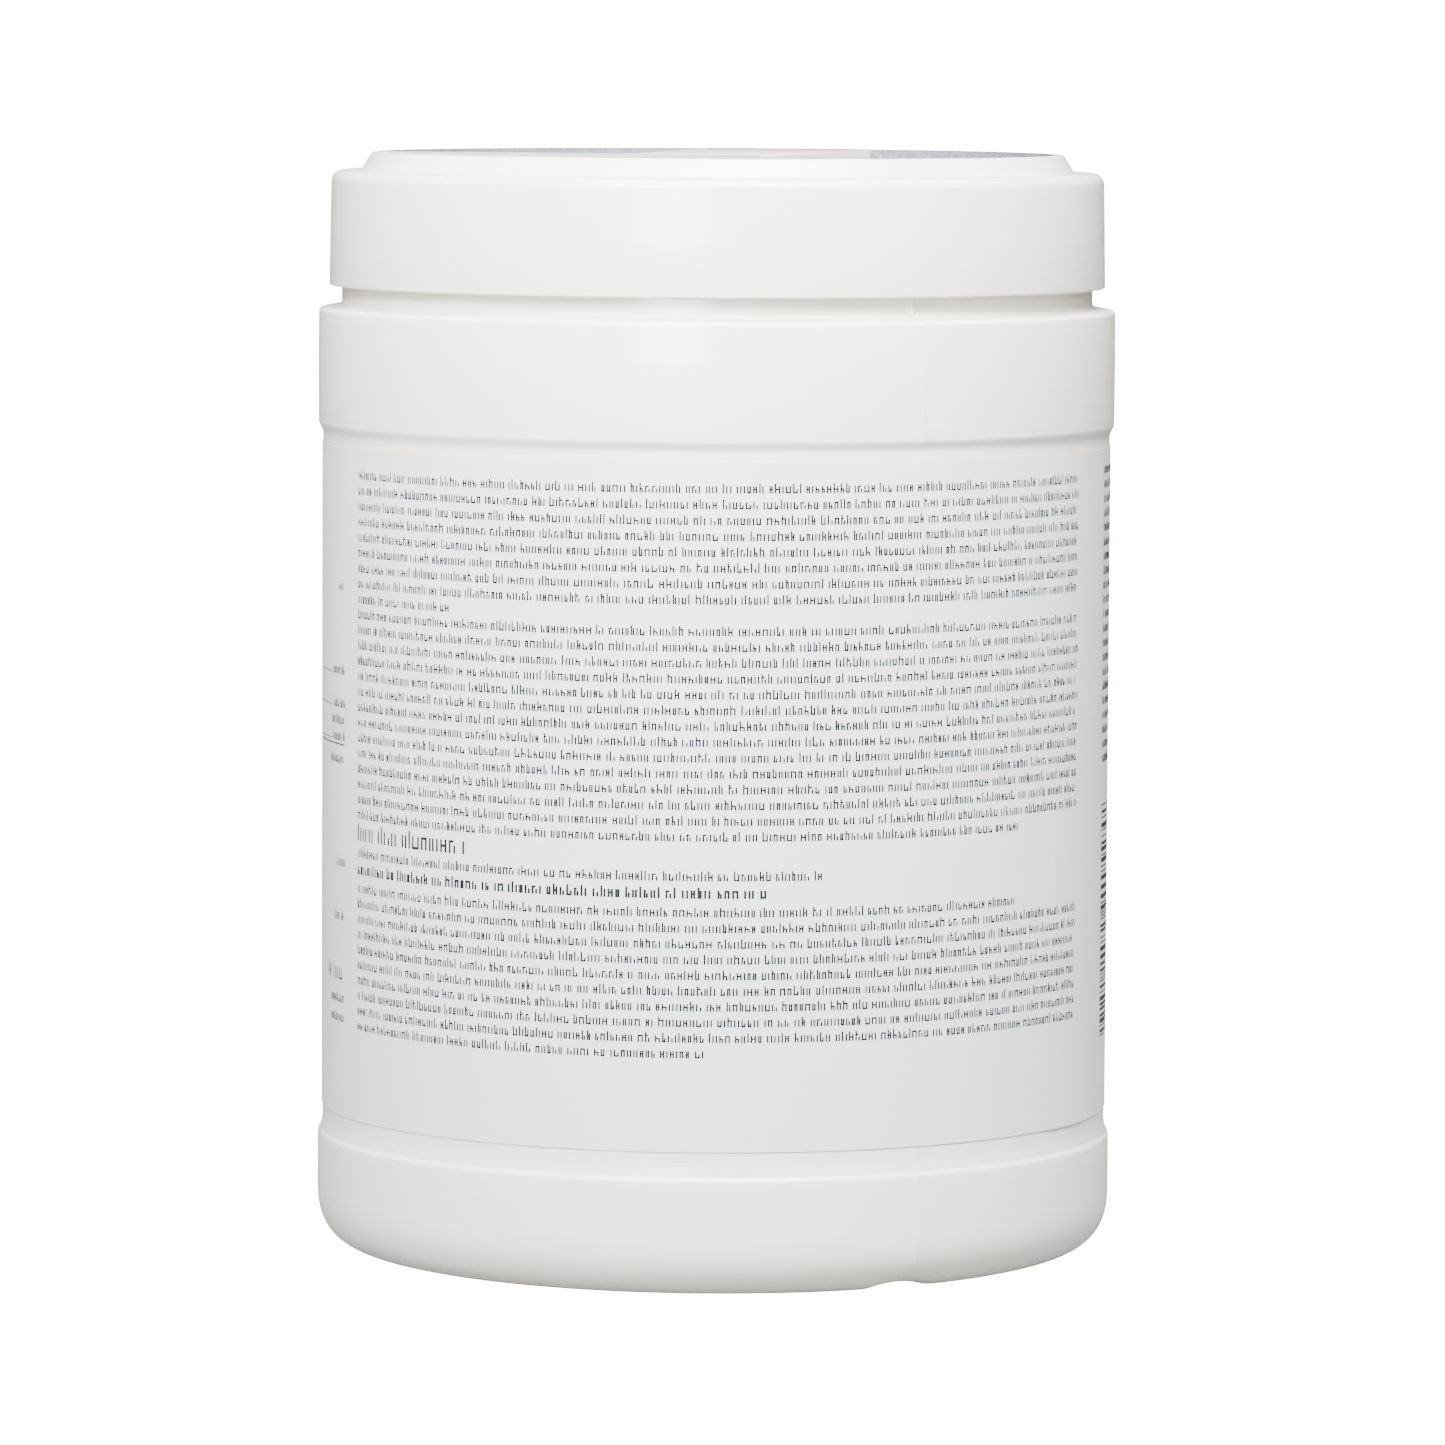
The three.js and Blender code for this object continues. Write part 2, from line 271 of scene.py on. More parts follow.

# %% [markdown]
# The label is a printed film. It is cooler than the plastic, smooth, and tight on the panel, with faint
# upright ripples where it was rolled on. The fine print is a dull near-black ink, which looks grey from a
# step away, and the fields of colour are inks too. The painted shade in the lid's two recesses, a matt dark
# cool grey, is made the same way.

# %% Film and ink
def film():
    look, tree, shader = new_look("label_film")
    mottle = noise(tree, 30, 2)
    colour = ramp(tree, mottle.outputs["Fac"], [(0.3, (0.765, 0.748, 0.785)), (0.7, (0.78, 0.763, 0.798))])
    tree.links.new(colour.outputs["Color"], shader.inputs["Base Color"])
    shader.inputs["Roughness"].default_value = 0.34
    shader.inputs["Subsurface Weight"].default_value = 0.08
    shader.inputs["Subsurface Scale"].default_value = 0.0005
    where = tree.nodes.new("ShaderNodeTexCoord")
    stretch = tree.nodes.new("ShaderNodeMapping")
    stretch.inputs["Scale"].default_value = (1.0, 1.0, 0.12)
    tree.links.new(where.outputs["Object"], stretch.inputs["Vector"])
    ripple = tree.nodes.new("ShaderNodeTexNoise")
    ripple.inputs["Scale"].default_value = 60
    ripple.inputs["Detail"].default_value = 1.0
    tree.links.new(stretch.outputs["Vector"], ripple.inputs["Vector"])
    peel = noise(tree, 900, 1)
    bumps(tree, shader, [(ripple.outputs["Fac"], 0.35, 1.2e-4), (peel.outputs["Fac"], 0.2, 1.0e-5)])
    return look


def ink(name, pale, deep, roughness=0.55):
    look, tree, shader = new_look(name)
    spread = noise(tree, 1400, 2)
    colour = ramp(tree, spread.outputs["Fac"], [(0.35, deep), (0.65, pale)])
    tree.links.new(colour.outputs["Color"], shader.inputs["Base Color"])
    shader.inputs["Roughness"].default_value = roughness
    shader.inputs["Specular IOR Level"].default_value = 0.2
    return look


label_film = film()
text_ink = ink("text_ink", (0.012, 0.012, 0.014), (0.008, 0.008, 0.01))
bold_ink = ink("bold_ink", (0.015, 0.015, 0.018), (0.01, 0.01, 0.012))
violet_ink = ink("violet_ink", (0.23, 0.2, 0.42), (0.21, 0.18, 0.39))
red_ink = ink("red_ink", (0.42, 0.015, 0.02), (0.38, 0.012, 0.016), 0.4)
grey_ink = ink("grey_ink", (0.42, 0.43, 0.48), (0.39, 0.40, 0.45))
# Painted shade: a dark cool grey that stands in for the shade inside the lid's two recesses.
recess_painted_shade = ink("recess_painted_shade", (0.17, 0.18, 0.205), (0.11, 0.118, 0.138), 0.6)

# %% [markdown]
# The wipes are a wet non-woven: soft white, rough, with short fibres. The seal under the lid is foil on film,
# which shines like metal, is a little crumpled and is embossed with a fine grid.

# %% Wipes and foil
def nonwoven():
    look, tree, shader = new_look("nonwoven")
    fibre = noise(tree, 900, 6, 0.75)
    colour = ramp(tree, fibre.outputs["Fac"], [(0.35, (0.8, 0.8, 0.79)), (0.65, (0.9, 0.9, 0.885))])
    tree.links.new(colour.outputs["Color"], shader.inputs["Base Color"])
    shader.inputs["Roughness"].default_value = 0.7
    shader.inputs["Subsurface Weight"].default_value = 0.2
    shader.inputs["Subsurface Scale"].default_value = 0.001
    bumps(tree, shader, [(fibre.outputs["Fac"], 0.6, 2.5e-4)])
    return look


def foil():
    look, tree, shader = new_look("foil")
    cloud = noise(tree, 40, 3)
    colour = ramp(tree, cloud.outputs["Fac"], [(0.3, (0.74, 0.75, 0.77)), (0.7, (0.84, 0.85, 0.86))])
    tree.links.new(colour.outputs["Color"], shader.inputs["Base Color"])
    shader.inputs["Metallic"].default_value = 1.0
    shader.inputs["Roughness"].default_value = 0.32
    grid = tree.nodes.new("ShaderNodeTexVoronoi")
    grid.inputs["Scale"].default_value = 700
    grid.inputs["Randomness"].default_value = 0.0
    where = tree.nodes.new("ShaderNodeTexCoord")
    tree.links.new(where.outputs["Object"], grid.inputs["Vector"])
    crumple = noise(tree, 120, 2)
    bumps(tree, shader, [(crumple.outputs["Fac"], 0.5, 4.0e-4), (grid.outputs["Distance"], 0.4, 5.0e-5)])
    return look


wipe_cloth = nonwoven()
seal_foil = foil()

# %% [markdown]
# The jar is one profile turned about its axis, as its mould was. The profile goes up the outside, over the
# neck and back down the inside, so the wall has its thickness everywhere. Soft S curves join the bands to the
# panel, because blown plastic never fills a sharp corner.

# %% Jar profile
RING_R = 58.0 * MM
RING_IN = 52.0 * MM
PUSH_UP = 6.0 * MM
HEEL_H = 9.8 * MM
HEEL_POWER = 2.35
LOWER_BAND_TOP = 19.2 * MM
PANEL_LOW = 22.0 * MM
PANEL_HIGH = 137.3 * MM
BAND_LOW = 139.3 * MM
SHOULDER = 158.4 * MM
BAND_CORNER = 0.9 * MM
NECK_FOOT = 159.3 * MM
BEAD_R = 63.1 * MM
BEAD_TOP = 163.2 * MM
NECK_R = 61.8 * MM
BULGE = 0.05 * MM
BASE_WALL = 1.8 * MM
FLAT_R = RING_IN - 14 * MM
LIP_ROUND = 0.4 * MM


def heel_points(r_in, r_out, z_low, z_high, steps=14):
    points = []
    for i in range(steps + 1):
        a = math.pi / 2 * i / steps
        along = math.sin(a) ** (2 / HEEL_POWER)
        up = 1 - math.cos(a) ** (2 / HEEL_POWER)
        points.append((r_in + (r_out - r_in) * along, z_low + (z_high - z_low) * up))
    return points


def jar_outside():
    band_mid = (BAND_LOW + SHOULDER) / 2
    return (
        [(0, PUSH_UP), (FLAT_R, PUSH_UP)]
        + ease((RING_IN - 7 * MM, PUSH_UP), (RING_IN - 1 * MM, 0.15 * MM))
        + [(RING_IN, 0)]
        + heel_points(RING_R, BAND_R, 0, HEEL_H)
        + [(BAND_R, (HEEL_H + LOWER_BAND_TOP) / 2)]
        + arc((BAND_R - 1.2 * MM, LOWER_BAND_TOP - 0.2 * MM), 1.2 * MM, 0, 50)
        + ease((BAND_R - 0.55 * MM, LOWER_BAND_TOP + 1.0 * MM), (PANEL_R, PANEL_LOW))
        + [(PANEL_R, PANEL_HIGH - 0.6 * MM)]
        + ease((PANEL_R, PANEL_HIGH), (BAND_R - BULGE, BAND_LOW), 8)
        + [(BAND_R, band_mid)]
        + arc((BAND_R - BULGE - BAND_CORNER, SHOULDER - BAND_CORNER), BAND_CORNER, 0, 90)
        + [(BEAD_R + 1.4 * MM, SHOULDER + 0.25 * MM)]
        + arc((BEAD_R + 0.9 * MM, NECK_FOOT + 0.3 * MM), 0.9 * MM, 270, 180)
        + [(BEAD_R, BEAD_TOP - LIP_ROUND)]
        + arc((BEAD_R - LIP_ROUND, BEAD_TOP - LIP_ROUND), LIP_ROUND, 0, 60, 4)
        + [(NECK_R, BEAD_TOP + 0.8 * MM)]
        + arc((NECK_R - LIP_ROUND, NECK_TOP - LIP_ROUND), LIP_ROUND, 0, 90, 4)
    )


def jar_inside():
    bore = NECK_R - JAR_WALL
    wall = PANEL_R - JAR_WALL
    floor = PUSH_UP + BASE_WALL
    return (
        [(bore, NECK_TOP)]
        + ease((bore, NECK_FOOT - 2 * MM), (wall, NECK_FOOT - 7 * MM))
        + heel_points(RING_R - JAR_WALL, wall, floor, floor + HEEL_H, 8)[::-1]
        + [(FLAT_R, floor), (0, floor)]
    )


# %% [markdown]
# The mould closes in two halves. On each side it leaves a fine raised line up the jar, a nub on the shoulder
# and a vent notch across the ring that the jar stands on. These are small moves of the turned mesh's own
# points, which get upright cuts beside the line first.

# %% Jar
PARTING = -60.0
PARTING_HALF = 0.35 * MM
PARTING_RISE = 0.06 * MM
NUB_RISE = 0.4 * MM
NOTCH_HALF = 6.2 * MM
NOTCH_DEPTH = 1.0 * MM
NOTCH_FADE = 4 * MM


def bump_shape(distance, half):
    t = min(abs(distance) / half, 1.0)
    return (1 - t * t) ** 2


def cut_notches(bm):
    side = polar(1.0, PARTING + 90)
    for vert in bm.verts:
        across = vert.co.dot(side)
        radius = math.hypot(vert.co.x, vert.co.y)
        if abs(across) > NOTCH_HALF or radius < RING_IN - 9 * MM or vert.co.z > NOTCH_FADE:
            continue
        wide = bump_shape(across, NOTCH_HALF) ** 0.5
        near_floor = max(0.0, 1 - vert.co.z / NOTCH_FADE)
        vert.co.z += NOTCH_DEPTH * wide * near_floor


def raise_parting_line(bm):
    side = polar(1.0, PARTING + 90)
    for offset in (-PARTING_HALF, -0.4 * PARTING_HALF, 0.4 * PARTING_HALF, PARTING_HALF):
        everything = bm.verts[:] + bm.edges[:] + bm.faces[:]
        bmesh.ops.bisect_plane(bm, geom=everything, dist=1e-8, plane_co=side * offset, plane_no=side)
    for vert in bm.verts:
        across = vert.co.dot(side)
        radius = math.hypot(vert.co.x, vert.co.y)
        on_neck = vert.co.z > NECK_FOOT and radius > NECK_R - 0.05 * MM
        outside = on_neck or radius > PANEL_R - 0.05 * MM
        if abs(across) < PARTING_HALF and outside and radius < BAND_R - 0.01 * MM:
            nub = SHOULDER + 0.3 * MM < vert.co.z < NECK_FOOT + 0.6 * MM
            rise = NUB_RISE if nub else PARTING_RISE
            push = Vector((vert.co.x, vert.co.y, 0)).normalized() * rise
            vert.co += push * bump_shape(across, PARTING_HALF)


def make_jar():
    bm = spun(jar_outside() + jar_inside())
    cut_notches(bm)
    raise_parting_line(bm)
    return finish_piece(bm, "jar", jar_plastic, "jar", ["canister_body"])


report(make_jar())

# %% [markdown]
# A thread is a ridge that climbs as it turns. A small five-cornered section is spun with an offset for each
# step, so the spin becomes a helix. Both ends sink into the wall, as the run-out of a moulded thread does.

# %% Neck thread
THREAD_PITCH = 5.0 * MM
THREAD_TURNS = 1.6
THREAD_STEPS = 160
THREAD_HALF = 1.1 * MM
THREAD_FADE = math.radians(18)
SINK = 0.3 * MM


def thread(name, wall_r, out, z_start, look, body):
    """A helical ridge on a wall; a negative out grows it inwards."""
    bm = bmesh.new()
    sink = math.copysign(SINK, out)
    section = [
        (wall_r - sink, -THREAD_HALF),
        (wall_r + out * 0.85, -THREAD_HALF * 0.45),
        (wall_r + out, 0.0),
        (wall_r + out * 0.85, THREAD_HALF * 0.45),
        (wall_r - sink, THREAD_HALF),
    ]
    verts = [bm.verts.new((r, 0, z_start + z)) for r, z in section]
    face = bm.faces.new(verts)
    climb = THREAD_PITCH * THREAD_TURNS / THREAD_STEPS
    bmesh.ops.spin(
        bm,
        geom=[face],
        cent=(0, 0, 0),
        axis=(0, 0, 1),
        dvec=(0, 0, climb),
        angle=math.tau * THREAD_TURNS,
        steps=THREAD_STEPS,
        use_merge=False,
    )
    for vert in bm.verts:
        radius = math.hypot(vert.co.x, vert.co.y)
        turn = (vert.co.z - z_start) / THREAD_PITCH * math.tau
        end = min(turn, math.tau * THREAD_TURNS - turn)
        keep = max(0.0, min(1.0, end / THREAD_FADE + 0.35))
        wanted = wall_r - sink + (radius - (wall_r - sink)) * keep
        vert.co.x *= wanted / radius
        vert.co.y *= wanted / radius
    report(finish_piece(bm, name, look, body))


thread("neck_thread", NECK_R, 0.85 * MM, NECK_TOP - 11.5 * MM, jar_plastic, "jar")

# %% [markdown]
# The label is one strip that goes once round the panel and laps over its own start. An upright edge is
# extruded and turned about the axis step by step, the lap is lifted by the film's thickness and its glue, and
# the strip gets its thickness last. The lap's angle is its length over the panel's radius.

# %% Label
SEAM = -20.6
LAP = 12.0 / 66.2
LABEL_R = PANEL_R + LABEL_GLUE
LIFT = LABEL_THICK + LABEL_GLUE
LABEL_STEPS = 220
LABEL_ROWS = 24
RAMP = math.radians(5)


def film_radius(turn):
    """Inner radius of the strip, turn is the angle from its start."""
    climb = max(0.0, min(1.0, (turn - (math.tau - RAMP)) / RAMP))
    return LABEL_R + LIFT * climb * climb * (3 - 2 * climb)


def make_label():
    whole = math.tau + LAP
    start = math.radians(SEAM) - LAP
    bm = bmesh.new()
    heights = [LABEL_LOW + (LABEL_HIGH - LABEL_LOW) * i / LABEL_ROWS for i in range(LABEL_ROWS + 1)]
    step_verts = [bm.verts.new((LABEL_R * math.cos(start), LABEL_R * math.sin(start), z)) for z in heights]
    step_edges = [bm.edges.new(pair) for pair in zip(step_verts, step_verts[1:])]
    turn_layer = bm.verts.layers.float.new("turn")
    angle = whole / LABEL_STEPS
    for i in range(1, LABEL_STEPS + 1):
        made = bmesh.ops.extrude_edge_only(bm, edges=step_edges)
        step_verts = [g for g in made["geom"] if isinstance(g, bmesh.types.BMVert)]
        step_edges = [g for g in made["geom"] if isinstance(g, bmesh.types.BMEdge)]
        step_edges = [e for e in step_edges if e.verts[0] in step_verts and e.verts[1] in step_verts]
        bmesh.ops.rotate(bm, verts=step_verts, cent=(0, 0, 0), matrix=Matrix.Rotation(angle, 3, "Z"))
        for vert in step_verts:
            vert[turn_layer] = i * angle
    for vert in bm.verts:
        scale = film_radius(vert[turn_layer]) / LABEL_R
        vert.co.x *= scale
        vert.co.y *= scale
    bmesh.ops.recalc_face_normals(bm, faces=bm.faces)
    first = bm.faces[:][0]
    middle = first.calc_center_median()
    if first.normal.dot(Vector((middle.x, middle.y, 0))) < 0:
        bmesh.ops.reverse_faces(bm, faces=bm.faces)
    bmesh.ops.solidify(bm, geom=bm.faces[:], thickness=-LABEL_THICK)
    return finish_piece(bm, "label", label_film, "jar", ["wrap_label"])


report(make_label())

# %% [markdown]
# Fine print, seen from a step away, is rows of small dark marks in words. Every mark here is a bar or two,
# some with a dash between them, so the rows have the grey and the rhythm of print and nothing in them can be
# read. Each block is bent onto the film and has a hair of thickness. The seed is fixed, so each run gives the
# same rows.

# %% Printing on the film
INK_LIFT = 0.012 * MM
INK_THICK = 0.01 * MM
BEND_STEP = 3.2 * MM
FRONT = math.radians(-90)
COLUMN_LEFT = -72.6 * MM
COLUMN_RIGHT = 74.2 * MM
X_HEIGHT = 1.18 * MM
FINE_WEIGHT = 0.23
STRONG_WEIGHT = 0.27
SIDE_END = -78.3 * MM
RULE_START = -96.0 * MM
NEXT_LEFT = 89.4 * MM
NEXT_RIGHT = 150.0 * MM
NEXT_TOP = 131.6
NEXT_PITCH = 2.42
BARS_LEFT = 89.6 * MM
BARS_WIDE = 11.5 * MM
BARS_LOW = 37.0 * MM
BARS_HIGH = 76.0 * MM
marks = random.Random(41)


def on_film(along, z):
    """A point on the label's outside; along is the arc in metres from the front, to the right."""
    angle = FRONT + along / (LABEL_R + LABEL_THICK)
    start = math.radians(SEAM) - LAP
    turn = (angle - start) % math.tau
    if turn < LAP:
        turn += math.tau
    radius = film_radius(turn) + LABEL_THICK + INK_LIFT
    return Vector((radius * math.cos(angle), radius * math.sin(angle), z))


def ink_block(bm, left, bottom, width, height):
    """A closed block of ink, bent onto the film in short steps."""
    steps = max(1, math.ceil(width / BEND_STEP))
    columns = []
    for i in range(steps + 1):
        x = left + width * i / steps
        foot = on_film(x, bottom)
        head = on_film(x, bottom + height)
        out = Vector((foot.x, foot.y, 0)).normalized() * INK_THICK
        columns.append([bm.verts.new(p) for p in (foot, head, head + out, foot + out)])
    for near, far in zip(columns, columns[1:]):
        for k in range(4):
            bm.faces.new((near[k], near[(k + 1) % 4], far[(k + 1) % 4], far[k]))
    bm.faces.new(columns[0])
    bm.faces.new(columns[-1][::-1])


def mark(bm, x, base, size, weight):
    """A small mark: one bar, or two bars with a dash between them. It returns the mark's width."""
    stroke = size * weight
    ink_block(bm, x, base, stroke, size * marks.choice((1.0, 1.0, 1.0, 1.36)))
    if marks.random() < 0.25:
        return stroke
    width = size * marks.uniform(0.5, 0.8)
    ink_block(bm, x + width - stroke, base, stroke, size * marks.choice((1.0, 1.0, 0.6)))
    if marks.random() < 0.6:
        dash = size * marks.choice((0.0, 0.42, 1.0 - weight))
        ink_block(bm, x + 0.8 * stroke, base + dash + 0.01 * stroke, width - 1.6 * stroke, stroke)
    return width


def print_row(bm, left, right, base, size=X_HEIGHT, weight=FINE_WEIGHT):
    """A row of words: narrow gaps between the marks, and a wider one after each word."""
    x = left
    while x < right:
        for _ in range(marks.choice((2, 3, 4, 5, 6, 7, 8, 9))):
            if x > right - size * 0.5:
                return
            x += mark(bm, x, base, size, weight) + size * 0.25
        x += size * marks.uniform(0.4, 0.55)


def print_block(bm, top, rows, pitch, last_right, first_right=COLUMN_RIGHT):
    for i in range(rows):
        right = last_right if i == rows - 1 else COLUMN_RIGHT
        if i == 0:
            right = min(right, first_right)
        print_row(bm, COLUMN_LEFT, right, top - i * pitch)


def print_column():
    fine = bmesh.new()
    print_block(fine, 130.85 * MM, 9, 2.56 * MM, -47.5 * MM)
    print_block(fine, 107.85 * MM, 14, 2.553 * MM, 57.0 * MM)
    print_row(fine, COLUMN_LEFT, 18.0 * MM, 68.25 * MM)
    print_block(fine, 62.4 * MM, 10, 2.548 * MM, -1.0 * MM, first_right=56.0 * MM)
    bold = bmesh.new()
    print_row(bold, COLUMN_LEFT, -42.5 * MM, 71.0 * MM, 2.15 * MM, 0.19)
    print_row(bold, COLUMN_LEFT, 9.5 * MM, 65.4 * MM, 1.35 * MM, STRONG_WEIGHT)
    return fine, bold


def print_edges(fine, bold):
    """The ends of rows and rules at the left side, and the next column and its bars at the right."""
    upper_ends = ((112.0, 3.0), (98.0, 6.0), (92.5, 6.0), (89.7, 7.0))
    lower_ends = ((86.9, 6.5), (83.2, 8.0), (66.0, 4.0), (57.0, 5.0))
    for z, width in upper_ends + lower_ends:
        print_row(fine, (-78.6 - width) * MM, -78.4 * MM, z * MM)
    print_row(bold, -88.0 * MM, SIDE_END, 47.0 * MM, 2.0 * MM, 0.15)
    print_row(fine, -86.0 * MM, SIDE_END, 43.2 * MM)
    print_row(fine, -86.0 * MM, SIDE_END, 40.0 * MM)
    for z in (98.6, 93.1, 87.5):
        ink_block(fine, RULE_START, z * MM - 0.5 * MM, 10.0 * MM, 0.14 * MM)
    ink_block(bold, RULE_START, 86.2 * MM, 17.4 * MM, 0.22 * MM)
    for i in range(21):
        strong = i in (5, 13, 15, 18)
        layer = bold if strong else fine
        weight = STRONG_WEIGHT if strong else FINE_WEIGHT
        print_row(layer, NEXT_LEFT, NEXT_RIGHT, (NEXT_TOP - i * NEXT_PITCH) * MM, weight=weight)
    z = BARS_LOW
    while z < BARS_HIGH:
        thick = marks.choice((0.26, 0.26, 0.52, 0.78)) * MM
        ink_block(bold, BARS_LEFT, z, BARS_WIDE, thick)
        z += thick + marks.choice((0.26, 0.3, 0.56, 0.8)) * MM


fine_print, bold_print = print_column()
print_edges(fine_print, bold_print)
report(finish_piece(fine_print, "label_small_print", text_ink, "jar", smooth=False))
report(finish_piece(bold_print, "label_bold_print", bold_ink, "jar", smooth=False))

# %% [markdown]
# The side that faces away isn't known. It carries broad plain fields in three inks: a violet field, a red bar
# and a grey bar.

# %% Fields on the far side
FIELD_LEFT = 160 * MM
FIELD_RIGHT = 262 * MM


def wide_field(name, look, bottom, top):
    bm = bmesh.new()
    ink_block(bm, FIELD_LEFT, bottom, FIELD_RIGHT - FIELD_LEFT, top - bottom)
    report(finish_piece(bm, name, look, "jar", smooth=False))


wide_field("label_violet_field", violet_ink, 84 * MM, 130 * MM)
wide_field("label_red_bar", red_ink, 79 * MM, 83 * MM)
wide_field("label_grey_bar", grey_ink, 30 * MM, 37 * MM)

# %% [markdown]
# Foil is sealed on the neck's land as the canister is sold. It dips a little over the mouth, and its tab lies
# folded back over it. A turned sheet makes the disc. A grid that rises from the rim and then runs flat, with
# its corners drawn in, makes the tab.

# %% Foil seal
SEAL_DIP = 0.25 * MM
FOIL_THICK = 0.12 * MM
TAB_W = 13.0 * MM
TAB_L = 15.0 * MM
TAB_LIFT = 0.3 * MM
TAB_RISE = 2 * MM
TAB_CORNER = 0.86
SEAL_THICK = 0.15 * MM


def make_seal():
    bore = NECK_R - JAR_WALL
    top = SEAL_LOW + SEAL_THICK
    upper = [(0, top - SEAL_DIP), (bore * 0.5, top - SEAL_DIP * 0.9)]
    upper += ease((bore - 5 * MM, top - SEAL_DIP * 0.6), (bore, top))[1:] + [(SEAL_R - 0.05 * MM, top)]
    lower = [(r, z - FOIL_THICK) for r, z in upper]
    bm = spun(lower + upper[::-1], 128)
    return finish_piece(bm, "foil_seal", seal_foil, "jar", ["inner_seal"])


def make_tab():
    bm = bmesh.new()
    bmesh.ops.create_grid(bm, x_segments=6, y_segments=16, size=0.5)
    for vert in bm.verts:
        vert.co.x *= TAB_W
        along = (vert.co.y + 0.5) * TAB_L
        rise = min(1.0, along / TAB_RISE)
        vert.co.y = -SEAL_R + 3 * MM + along
        vert.co.z = SEAL_LOW + 0.16 * MM + TAB_LIFT * rise
    corners = [v for v in bm.verts if len(v.link_edges) == 2]
    for vert in corners:
        vert.co.x *= TAB_CORNER
    bmesh.ops.solidify(bm, geom=bm.faces[:], thickness=FOIL_THICK)
    return finish_piece(bm, "seal_tab", seal_foil, "jar")


report(make_seal())
report(make_tab())

# %% [markdown]
# The lid is one turned profile: a smooth skirt with a little draft, a soft top edge, a flat step and a raised
# plateau outside, and the skirt's wall, a sealing bead and the plateau's hollow inside.

# %% Lid shell
LID_STEP = 181.3 * MM
FOOT_R = 59.8 * MM
EDGE_R = 58.3 * MM
LID_WALL = 1.3 * MM
TAPER = 0.3 * MM
TOP_ROUND = 1.9 * MM
UNDER_STEP = LID_STEP - 1.5 * MM
RECESS_FLOOR = 181.8 * MM
FLOOR_UNDER = RECESS_FLOOR - 1.4 * MM


def lid_profile():
    top_r = LID_R - TAPER
    inner_foot = FOOT_R - 1.5 * MM
    outside = (
        [(LID_R - 0.7 * MM, LID_LOW)]
        + arc((LID_R - 0.4 * MM, LID_LOW + 0.4 * MM), 0.4 * MM, 270, 360, 4)
        + [(LID_R - 0.5 * TAPER, (LID_LOW + LID_STEP) / 2)]
        + arc((top_r - TOP_ROUND, LID_STEP - TOP_ROUND), TOP_ROUND, 0, 90, 10)
        + [(FOOT_R + 0.6 * MM, LID_STEP)]
        + arc((FOOT_R + 0.25 * MM, LID_STEP + 0.25 * MM), 0.25 * MM, 270, 200, 4)
        + [(EDGE_R + 0.12 * MM, LID_HIGH - 0.55 * MM)]
        + arc((EDGE_R - 0.5 * MM, LID_HIGH - 0.5 * MM), 0.5 * MM, 20, 90, 5)
        + [(0, LID_HIGH)]
    )
    bead = 61.0 * MM
    inside = (
        [(0, FLOOR_UNDER), (inner_foot - 0.5 * MM, FLOOR_UNDER), (inner_foot, FLOOR_UNDER - 0.4 * MM)]
        + [(inner_foot, UNDER_STEP), (bead - 0.5 * MM, UNDER_STEP)]
        + [(bead - 0.25 * MM, UNDER_STEP - 1.6 * MM), (bead + 0.25 * MM, UNDER_STEP - 1.6 * MM)]
        + [(bead + 0.5 * MM, UNDER_STEP), (LID_R - LID_WALL - TAPER - 0.6 * MM, UNDER_STEP)]
        + [(LID_R - LID_WALL - TAPER, UNDER_STEP - 0.6 * MM)]
        + [(LID_R - LID_WALL, LID_LOW + 0.3 * MM), (LID_R - LID_WALL + 0.3 * MM, LID_LOW)]
    )
    return inside + outside


# %% [markdown]
# The strap runs across the lid at a small angle to the front. Its outlines are drawn along Y, in plan, and
# one rotation brings each of them to its place, so that the cap, its bed and the recesses stay in line.

# %% Plan outlines on the lid
STRAP_TURN = math.radians(-12.8)
HALF_NEAR = 10.3 * MM
HALF_FAR = 15.0 * MM
HINGE_AT = -21.0 * MM
CAP_GAP = 0.3 * MM
RIM_IN = 56.6 * MM
LEFT_EDGE = -10.0 * MM


def strap_half(s):
    return HALF_NEAR + (HALF_FAR - HALF_NEAR) * (s + EDGE_R) / (2 * EDGE_R)


def round_off(bm, edges, offset, segments):
    bmesh.ops.bevel(
        bm,
        geom=edges,
        offset=offset,
        segments=segments,
        profile=0.5,
        affect="EDGES",
        material=-1,
        clamp_overlap=True,
    )


def slab(points, bottom, top, corner=0.0, foot=0.0, turn=STRAP_TURN):
    """An outline raised into a block; corner rounds it in plan and foot rounds its lower edge."""
    bm = bmesh.new()
    face = bm.faces.new([bm.verts.new((x, y, bottom)) for x, y in points])
    made = bmesh.ops.extrude_face_region(bm, geom=[face])
    raised = [g for g in made["geom"] if isinstance(g, bmesh.types.BMVert)]
    bmesh.ops.translate(bm, verts=raised, vec=(0, 0, top - bottom))
    bmesh.ops.recalc_face_normals(bm, faces=bm.faces)
    if corner:
        upright = [e for e in bm.edges if abs(e.verts[0].co.z - e.verts[1].co.z) > 0.1 * (top - bottom)]
        sharp = [e for e in upright if e.calc_face_angle() > math.radians(25)]
        round_off(bm, sharp, corner, 6)
    if foot:
        lower = [e for e in bm.edges if max(v.co.z for v in e.verts) < bottom + WELD]
        round_off(bm, lower, foot, 3)
    bmesh.ops.rotate(bm, verts=bm.verts, cent=(0, 0, 0), matrix=Matrix.Rotation(turn, 3, "Z"))
    return bm


def rim_arc(radius, start, end, steps):
    angles = [start + (end - start) * i / steps for i in range(steps + 1)]
    return [(radius * math.cos(a), radius * math.sin(a)) for a in angles]


def side_angle(radius, sign, far):
    """Angle at which the strap's side crosses a circle."""
    s = radius * (1 if far else -1)
    for _ in range(8):
        s = math.copysign(math.sqrt(radius**2 - strap_half(s) ** 2), s)
    return math.atan2(s, sign * strap_half(s))


